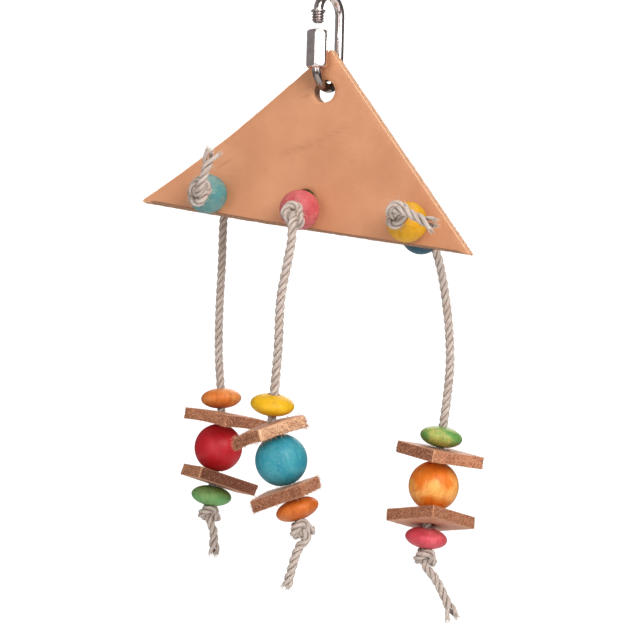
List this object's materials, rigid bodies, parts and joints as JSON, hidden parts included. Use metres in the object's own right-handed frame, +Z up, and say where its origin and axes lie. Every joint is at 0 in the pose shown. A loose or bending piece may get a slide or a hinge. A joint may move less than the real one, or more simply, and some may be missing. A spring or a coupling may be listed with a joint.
{
  "type": "hanging bird chew toy",
  "caption": "Leather triangle hung on a steel quick link, with knotted sisal ropes that carry wooden beads, balls and discs and leather squares, for a pet bird to chew.",
  "frame": {"origin": "top of the inside of the quick link, where a hook or cage bar bears", "axes": "+Z up, the leather's grain side faces -Y, +X to its right"},
  "size_m": [0.1798, 0.1127, 0.3137],
  "materials": {
    "steel": "polished stainless steel",
    "leather": "thick vegetable-tanned hide, smooth grain side",
    "leather_square": "thick hide offcut with raw granular cut edges",
    "rope": "three-strand sisal rope",
    "wood_teal": "food-dyed turned wood, satin",
    "wood_ochre": "food-dyed turned wood, satin",
    "wood_orange": "food-dyed turned wood, satin",
    "wood_red": "food-dyed turned wood, satin",
    "wood_green": "food-dyed turned wood, satin",
    "wood_crimson": "food-dyed turned wood, satin",
    "wood_yellow": "food-dyed turned wood, satin",
    "wood_sky": "food-dyed turned wood, satin",
    "wood_blue": "food-dyed turned wood, satin",
    "wood_pink": "food-dyed turned wood, satin"
  },
  "bodies": {
    "link": {"quick_link": "steel"},
    "sleeve": {"link_sleeve": "steel"},
    "plate": {"leather_plate": "leather", "left_tied_rope": "rope", "middle_tied_rope": "rope", "right_tied_rope": "rope"},
    "left_front_bead": {"left_front_bead": "wood_teal"},
    "left_back_bead": {"left_back_bead": "wood_ochre"},
    "left_strand": {"left_hanging_rope": "rope"},
    "left_top_disc": {"left_top_disc": "wood_orange"},
    "left_upper_square": {"left_upper_square": "leather_square"},
    "left_ball": {"left_ball": "wood_red"},
    "left_lower_square": {"left_lower_square": "leather_square"},
    "left_bottom_disc": {"left_bottom_disc": "wood_green"},
    "middle_front_bead": {"middle_front_bead": "wood_crimson"},
    "middle_back_bead": {"middle_back_bead": "wood_green"},
    "middle_strand": {"middle_hanging_rope": "rope"},
    "middle_top_disc": {"middle_top_disc": "wood_yellow"},
    "middle_upper_square": {"middle_upper_square": "leather_square"},
    "middle_ball": {"middle_ball": "wood_sky"},
    "middle_lower_square": {"middle_lower_square": "leather_square"},
    "middle_bottom_disc": {"middle_bottom_disc": "wood_orange"},
    "right_front_bead": {"right_front_bead": "wood_yellow"},
    "right_back_bead": {"right_back_bead": "wood_blue"},
    "right_strand": {"right_hanging_rope": "rope"},
    "right_top_disc": {"right_top_disc": "wood_green"},
    "right_upper_square": {"right_upper_square": "leather_square"},
    "right_ball": {"right_ball": "wood_orange"},
    "right_lower_square": {"right_lower_square": "leather_square"},
    "right_bottom_disc": {"right_bottom_disc": "wood_pink"}
  },
  "joints": [
    {"name": "sleeve_travel", "type": "slide", "parent": "link", "child": "sleeve", "axis": [0, 0, 1], "range_m": [0, 0.0084]},
    {"name": "plate_swing", "type": "hinge", "parent": "link", "child": "plate", "pos_m": [0, 0, -0.0437], "axis": [0, -1, 0], "range_deg": [-40, 40]},
    {"name": "left_front_bead_spin", "type": "hinge", "parent": "plate", "child": "left_front_bead", "pos_m": [-0.05812, -0.01578, -0.09753], "axis": [0.2733, -0.9613, -0.036], "continuous": true},
    {"name": "left_back_bead_spin", "type": "hinge", "parent": "plate", "child": "left_back_bead", "pos_m": [-0.06525, 0.00927, -0.09659], "axis": [0.2733, -0.9613, -0.036], "continuous": true},
    {"name": "left_strand_swing", "type": "hinge", "parent": "plate", "child": "left_strand", "pos_m": [-0.07132, 0.03065, -0.09579], "axis": [1, 0, 0], "range_deg": [-25, 60]},
    {"name": "left_top_disc_slide", "type": "slide", "parent": "left_strand", "child": "left_top_disc", "axis": [-0.0988, 0.0483, 0.9939], "range_m": [-0.0012, 0.015]},
    {"name": "left_upper_square_spin", "type": "hinge", "parent": "left_strand", "child": "left_upper_square", "pos_m": [-0.0732, 0.03176, -0.21296], "axis": [0.0687, 0.1039, 0.9922], "continuous": true},
    {"name": "left_ball_spin", "type": "hinge", "parent": "left_strand", "child": "left_ball", "pos_m": [-0.07375, 0.03071, -0.22904], "axis": [0.067, 0.0688, 0.9954], "continuous": true},
    {"name": "left_lower_square_spin", "type": "hinge", "parent": "left_strand", "child": "left_lower_square", "pos_m": [-0.0751, 0.02941, -0.2453], "axis": [0.1856, 0.2426, 0.9522], "continuous": true},
    {"name": "left_bottom_disc_spin", "type": "hinge", "parent": "left_strand", "child": "left_bottom_disc", "pos_m": [-0.07601, 0.02857, -0.25448], "axis": [0.0918, 0.0913, 0.9916], "continuous": true},
    {"name": "middle_front_bead_spin", "type": "hinge", "parent": "plate", "child": "middle_front_bead", "pos_m": [-0.00698, -0.01347, -0.10551], "axis": [0.3045, -0.9192, -0.2498], "continuous": true},
    {"name": "middle_back_bead_spin", "type": "hinge", "parent": "plate", "child": "middle_back_bead", "pos_m": [-0.01577, 0.01305, -0.0983], "axis": [0.3045, -0.9192, -0.2498], "continuous": true},
    {"name": "middle_strand_swing", "type": "hinge", "parent": "plate", "child": "middle_strand", "pos_m": [-0.00021, -0.0339, -0.11106], "axis": [1, 0, 0], "range_deg": [-60, 25]},
    {"name": "middle_top_disc_slide", "type": "slide", "parent": "middle_strand", "child": "middle_top_disc", "axis": [0.1362, -0.0801, 0.9874], "range_m": [-0.0004, 0.006]},
    {"name": "middle_upper_square_spin", "type": "hinge", "parent": "middle_strand", "child": "middle_upper_square", "pos_m": [-0.00777, -0.03475, -0.21277], "axis": [-0.242, -0.1406, 0.96], "continuous": true},
    {"name": "middle_ball_spin", "type": "hinge", "parent": "middle_strand", "child": "middle_ball", "pos_m": [-0.00325, -0.03347, -0.22816], "axis": [-0.3186, -0.0721, 0.9451], "continuous": true},
    {"name": "middle_lower_square_spin", "type": "hinge", "parent": "middle_strand", "child": "middle_lower_square", "pos_m": [0.00219, -0.03239, -0.24328], "axis": [-0.3124, -0.1231, 0.9419], "continuous": true},
    {"name": "middle_bottom_disc_spin", "type": "hinge", "parent": "middle_strand", "child": "middle_bottom_disc", "pos_m": [0.00535, -0.03187, -0.25153], "axis": [-0.3609, -0.0581, 0.9308], "continuous": true},
    {"name": "right_front_bead_spin", "type": "hinge", "parent": "plate", "child": "right_front_bead", "pos_m": [0.05077, -0.0128, -0.11143], "axis": [0.1266, -0.9762, 0.1758], "continuous": true},
    {"name": "right_back_bead_spin", "type": "hinge", "parent": "plate", "child": "right_back_bead", "pos_m": [0.04745, 0.0128, -0.11604], "axis": [0.1266, -0.9762, 0.1758], "continuous": true},
    {"name": "right_strand_swing", "type": "hinge", "parent": "plate", "child": "right_strand", "pos_m": [0.04463, 0.03451, -0.11995], "axis": [1, 0, 0], "range_deg": [-25, 60]},
    {"name": "right_top_disc_slide", "type": "slide", "parent": "right_strand", "child": "right_top_disc", "axis": [0.1145, 0.0883, 0.9895], "range_m": [-0.0003, 0.005]},
    {"name": "right_upper_square_spin", "type": "hinge", "parent": "right_strand", "child": "right_upper_square", "pos_m": [0.05051, 0.03555, -0.22611], "axis": [0.1461, 0.0639, 0.9872], "continuous": true},
    {"name": "right_ball_spin", "type": "hinge", "parent": "right_strand", "child": "right_ball", "pos_m": [0.04887, 0.03431, -0.24204], "axis": [0.1063, 0.0717, 0.9917], "continuous": true},
    {"name": "right_lower_square_spin", "type": "hinge", "parent": "right_strand", "child": "right_lower_square", "pos_m": [0.04718, 0.03318, -0.25864], "axis": [-0.0521, 0.2752, 0.96], "continuous": true},
    {"name": "right_bottom_disc_spin", "type": "hinge", "parent": "right_strand", "child": "right_bottom_disc", "pos_m": [0.04624, 0.03255, -0.26834], "axis": [0.1062, 0.0708, 0.9918], "continuous": true}
  ]
}
